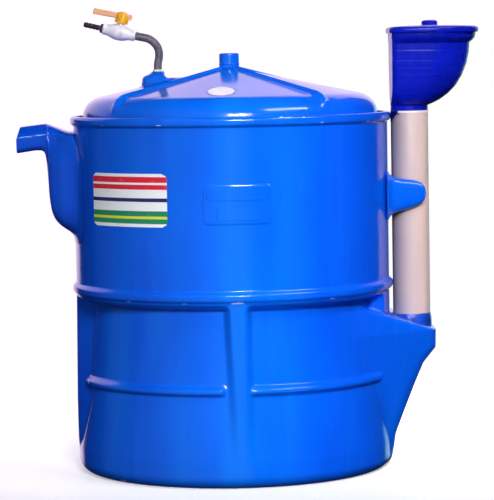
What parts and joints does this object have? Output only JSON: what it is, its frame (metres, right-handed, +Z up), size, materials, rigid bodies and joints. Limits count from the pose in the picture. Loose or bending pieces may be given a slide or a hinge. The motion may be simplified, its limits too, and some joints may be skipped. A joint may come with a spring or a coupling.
{
  "type": "floating drum biogas digester",
  "caption": "Portable floating-drum biogas digester: glass-fibre tank with recessed panels, ribbed gas drum with ball valve, slurry outlet spout, inlet pipe and lidded hopper.",
  "frame": {"origin": "centre of the tank's flat underside, on the ground", "axes": "+Z up along the tank's axis, +X to the inlet pipe and hopper, -X to the slurry outlet, -Y to the front"},
  "size_m": [1.362, 0.9446, 1.3625],
  "materials": {
    "tank_frp": "glossy moulded gel coat on glass fibre",
    "drum_frp": "glossy moulded gel coat on glass fibre",
    "hopper_plastic": "satin vacuum-formed plastic",
    "sealant": "brushed-on resin",
    "pipe_pvc": "satin extruded pipe",
    "ring_pvc": "satin",
    "hose_rubber": "satin hose",
    "valve_pvc": "moulded",
    "tail_plastic": "moulded",
    "lever_plastic": "moulded",
    "hub_plastic": "moulded, translucent",
    "post_steel": "galvanised pipe"
  },
  "bodies": {
    "digester": {"tank_floor": "tank_frp", "front_left_panel": "tank_frp", "front_right_panel": "tank_frp", "back_left_panel": "tank_frp", "back_right_panel": "tank_frp", "front_pilaster": "tank_frp", "back_pilaster": "tank_frp", "side_pilaster": "tank_frp", "inlet_pocket": "tank_frp", "front_left_rib": "tank_frp", "front_right_rib": "tank_frp", "back_left_rib": "tank_frp", "back_right_rib": "tank_frp", "waist_band": "tank_frp", "upper_wall_front": "tank_frp", "upper_wall_right": "tank_frp", "upper_wall_back": "tank_frp", "upper_wall_left": "tank_frp", "top_rim": "tank_frp", "outlet_channel": "tank_frp", "outlet_spout": "tank_frp", "pocket_collar": "sealant", "pipe_holder": "tank_frp", "inlet_pipe": "pipe_pvc", "hopper_neck": "hopper_plastic", "hopper_bowl": "hopper_plastic", "hopper_rim": "hopper_plastic", "guide_post": "post_steel"},
    "gas_holder": {"drum_skirt": "drum_frp", "drum_roof": "drum_frp", "roof_rib_front_left": "drum_frp", "roof_rib_front_right": "drum_frp", "roof_rib_back_right": "drum_frp", "roof_rib_back_left": "drum_frp", "guide_sleeve": "drum_frp", "guide_cap": "drum_frp", "gas_boss": "drum_frp", "hose_ring": "ring_pvc", "gas_hose": "hose_rubber", "valve_body": "valve_pvc", "hose_tail": "tail_plastic"},
    "lever": {"valve_lever": "lever_plastic", "lever_hub": "hub_plastic"},
    "lid": {"hopper_lid": "hopper_plastic", "lid_knob": "hopper_plastic"}
  },
  "joints": [
    {"name": "gas_holder_rise", "type": "slide", "parent": "digester", "child": "gas_holder", "axis": [0, 0, 1], "range_m": [0, 0.38]},
    {"name": "lid_lift", "type": "slide", "parent": "digester", "child": "lid", "axis": [0, 0, 1], "range_m": [0, 0.15]},
    {"name": "valve_turn", "type": "hinge", "parent": "gas_holder", "child": "lever", "pos_m": [-0.32189, 0, 1.288], "axis": [0.2334, 0, 0.9724], "range_deg": [0, 90]}
  ]
}
